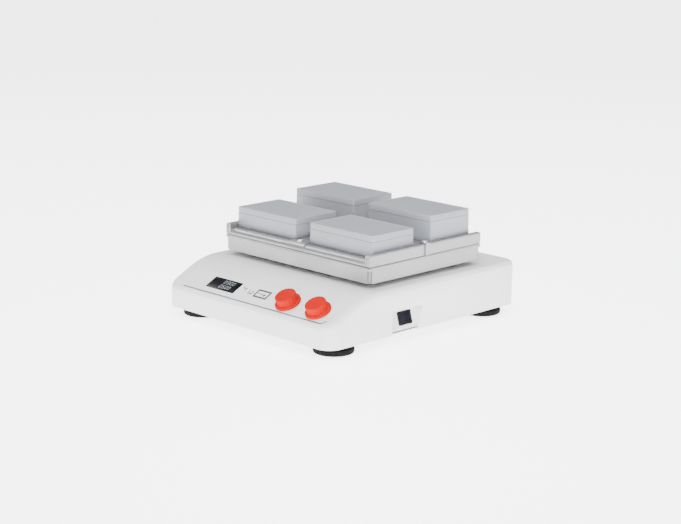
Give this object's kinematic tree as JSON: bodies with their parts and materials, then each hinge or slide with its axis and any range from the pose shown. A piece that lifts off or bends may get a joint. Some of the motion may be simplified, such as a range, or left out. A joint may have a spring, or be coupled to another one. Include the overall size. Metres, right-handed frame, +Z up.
{
  "type": "microplate shaker",
  "caption": "Bench orbital shaker with a folded platform for lidded microplates, a sloping console with display and push knobs, and a side power switch.",
  "frame": {"origin": "on the table, under the middle of the housing's footprint", "axes": "+Z up; +Y to the back of the instrument, the console faces -Y; +X to the side with the power switch"},
  "size_m": [0.35, 0.402, 0.1673],
  "materials": {
    "housing": "satin moulded light grey",
    "steel_plate": "plain rolled sheet",
    "screw_steel": "plated",
    "black_rubber": "matte",
    "overlay": "fine matte film",
    "display_lens": "smoked gloss",
    "display_block": "matte",
    "circuit_board": "solder mask",
    "standoff_brass": "turned",
    "encoder_metal": "stamped",
    "knob_orange": "soft satin",
    "black_plastic": "semi gloss",
    "blade_brass": "plated",
    "supply": "board with components",
    "machined_aluminium": "turned",
    "bearing_steel": "ground",
    "shaft_steel": "ground",
    "lamination": "stacked sheet",
    "magnet": "plated",
    "brushed_sheet": "fine brushed and clear anodised",
    "frosted_plate": "frosted translucent"
  },
  "bodies": {
    "base": {"housing_shell": "housing", "base_plate": "steel_plate", "base_plate_screws": "screw_steel", "foot_screws": "screw_steel", "foot_front_left": "black_rubber", "foot_front_right": "black_rubber", "foot_rear_left": "black_rubber", "foot_rear_right": "black_rubber", "console_overlay": "overlay", "display_window": "display_lens", "display_module": "display_block", "control_board": "circuit_board", "board_standoffs": "standoff_brass", "timer_encoder": "encoder_metal", "speed_encoder": "encoder_metal", "encoder_nuts": "encoder_metal", "switch_housing": "black_plastic", "mains_inlet": "black_plastic", "inlet_pins": "blade_brass", "power_supply": "supply", "chassis_plate": "machined_aluminium", "chassis_pillars": "standoff_brass", "main_bearing_housing": "machined_aluminium", "idler_bearing_housings": "machined_aluminium", "base_bearings": "bearing_steel", "motor_stator": "lamination", "splash_seals": "black_rubber"},
    "drive": {"drive_shaft": "shaft_steel", "counterweight": "steel_plate", "motor_rotor": "machined_aluminium", "rotor_magnets": "magnet"},
    "platform": {"platform_pan": "brushed_sheet", "platform_hub": "machined_aluminium", "bearing_cups": "machined_aluminium", "platform_bearings": "bearing_steel", "deck_tray": "brushed_sheet", "side_rail_left": "brushed_sheet", "side_rail_right": "brushed_sheet", "divider_long_bar": "brushed_sheet", "divider_cross_bar": "brushed_sheet", "divider_screws": "screw_steel"},
    "timer_push": {"timer_plunger": "black_plastic"},
    "speed_push": {"speed_plunger": "black_plastic"},
    "timer_dial": {"timer_knob": "knob_orange", "timer_spindle": "shaft_steel"},
    "speed_dial": {"speed_knob": "knob_orange", "speed_spindle": "shaft_steel"},
    "rocker": {"switch_rocker": "black_plastic"},
    "idler_front_left": {"idler_crank_front_left": "shaft_steel"},
    "plate_front_left": {"microplate_front_left": "frosted_plate"},
    "plate_lid_front_left": {"lid_front_left": "frosted_plate"},
    "idler_front_right": {"idler_crank_front_right": "shaft_steel"},
    "plate_front_right": {"microplate_front_right": "frosted_plate"},
    "plate_lid_front_right": {"lid_front_right": "frosted_plate"},
    "idler_rear_left": {"idler_crank_rear_left": "shaft_steel"},
    "plate_rear_left": {"microplate_rear_left": "frosted_plate"},
    "plate_lid_rear_left": {"lid_rear_left": "frosted_plate"},
    "idler_rear_right": {"idler_crank_rear_right": "shaft_steel"},
    "plate_rear_right": {"microplate_rear_right": "frosted_plate"},
    "plate_lid_rear_right": {"lid_rear_right": "frosted_plate"}
  },
  "joints": [
    {"name": "platform_counter_turn", "type": "hinge", "parent": "drive", "child": "platform", "pos_m": [0.002, 0.016, 0.1], "axis": [0, 0, 1], "continuous": true},
    {"name": "drive_spin", "type": "hinge", "parent": "base", "child": "drive", "pos_m": [0, 0.016, 0.06], "axis": [0, 0, 1], "continuous": true},
    {"name": "idler_front_left_spin", "type": "hinge", "parent": "base", "child": "idler_front_left", "pos_m": [-0.114, -0.059, 0.06], "axis": [0, 0, 1], "continuous": true},
    {"name": "idler_front_right_spin", "type": "hinge", "parent": "base", "child": "idler_front_right", "pos_m": [0.114, -0.059, 0.06], "axis": [0, 0, 1], "continuous": true},
    {"name": "idler_rear_left_spin", "type": "hinge", "parent": "base", "child": "idler_rear_left", "pos_m": [-0.114, 0.091, 0.06], "axis": [0, 0, 1], "continuous": true},
    {"name": "idler_rear_right_spin", "type": "hinge", "parent": "base", "child": "idler_rear_right", "pos_m": [0.114, 0.091, 0.06], "axis": [0, 0, 1], "continuous": true},
    {"name": "timer_press", "type": "slide", "parent": "base", "child": "timer_push", "axis": [0, 0.454, -0.891], "range_m": [0, 0.0005], "stiffness_N_per_m": 3000, "springref_m": -0.0005},
    {"name": "timer_turn", "type": "hinge", "parent": "timer_push", "child": "timer_dial", "pos_m": [0.0672, -0.17924, 0.06567], "axis": [0, -0.454, 0.891], "continuous": true},
    {"name": "speed_press", "type": "slide", "parent": "base", "child": "speed_push", "axis": [0, 0.454, -0.891], "range_m": [0, 0.0005], "stiffness_N_per_m": 3000, "springref_m": -0.0005},
    {"name": "speed_turn", "type": "hinge", "parent": "speed_push", "child": "speed_dial", "pos_m": [0.1281, -0.17924, 0.06567], "axis": [0, -0.454, 0.891], "continuous": true},
    {"name": "rocker_tilt", "type": "hinge", "parent": "base", "child": "rocker", "pos_m": [0.16446, -0.043, 0.03287], "axis": [-0.2506, 0, 0.9681], "range_deg": [0, 16]},
    {"name": "plate_front_left_lift", "type": "slide", "parent": "platform", "child": "plate_front_left", "axis": [0, 0, 1], "range_m": [0, 0.08]},
    {"name": "lid_front_left_lift", "type": "slide", "parent": "plate_front_left", "child": "plate_lid_front_left", "axis": [0, 0, 1], "range_m": [0, 0.04]},
    {"name": "plate_front_right_lift", "type": "slide", "parent": "platform", "child": "plate_front_right", "axis": [0, 0, 1], "range_m": [0, 0.08]},
    {"name": "lid_front_right_lift", "type": "slide", "parent": "plate_front_right", "child": "plate_lid_front_right", "axis": [0, 0, 1], "range_m": [0, 0.04]},
    {"name": "plate_rear_left_lift", "type": "slide", "parent": "platform", "child": "plate_rear_left", "axis": [0, 0, 1], "range_m": [0, 0.08]},
    {"name": "lid_rear_left_lift", "type": "slide", "parent": "plate_rear_left", "child": "plate_lid_rear_left", "axis": [0, 0, 1], "range_m": [0, 0.04]},
    {"name": "plate_rear_right_lift", "type": "slide", "parent": "platform", "child": "plate_rear_right", "axis": [0, 0, 1], "range_m": [0, 0.08]},
    {"name": "lid_rear_right_lift", "type": "slide", "parent": "plate_rear_right", "child": "plate_lid_rear_right", "axis": [0, 0, 1], "range_m": [0, 0.04]}
  ],
  "couplings": [
    {"joint": "drive_spin", "follows": "platform_counter_turn", "ratio": -1},
    {"joint": "idler_front_left_spin", "follows": "platform_counter_turn", "ratio": -1},
    {"joint": "idler_front_right_spin", "follows": "platform_counter_turn", "ratio": -1},
    {"joint": "idler_rear_left_spin", "follows": "platform_counter_turn", "ratio": -1},
    {"joint": "idler_rear_right_spin", "follows": "platform_counter_turn", "ratio": -1}
  ]
}
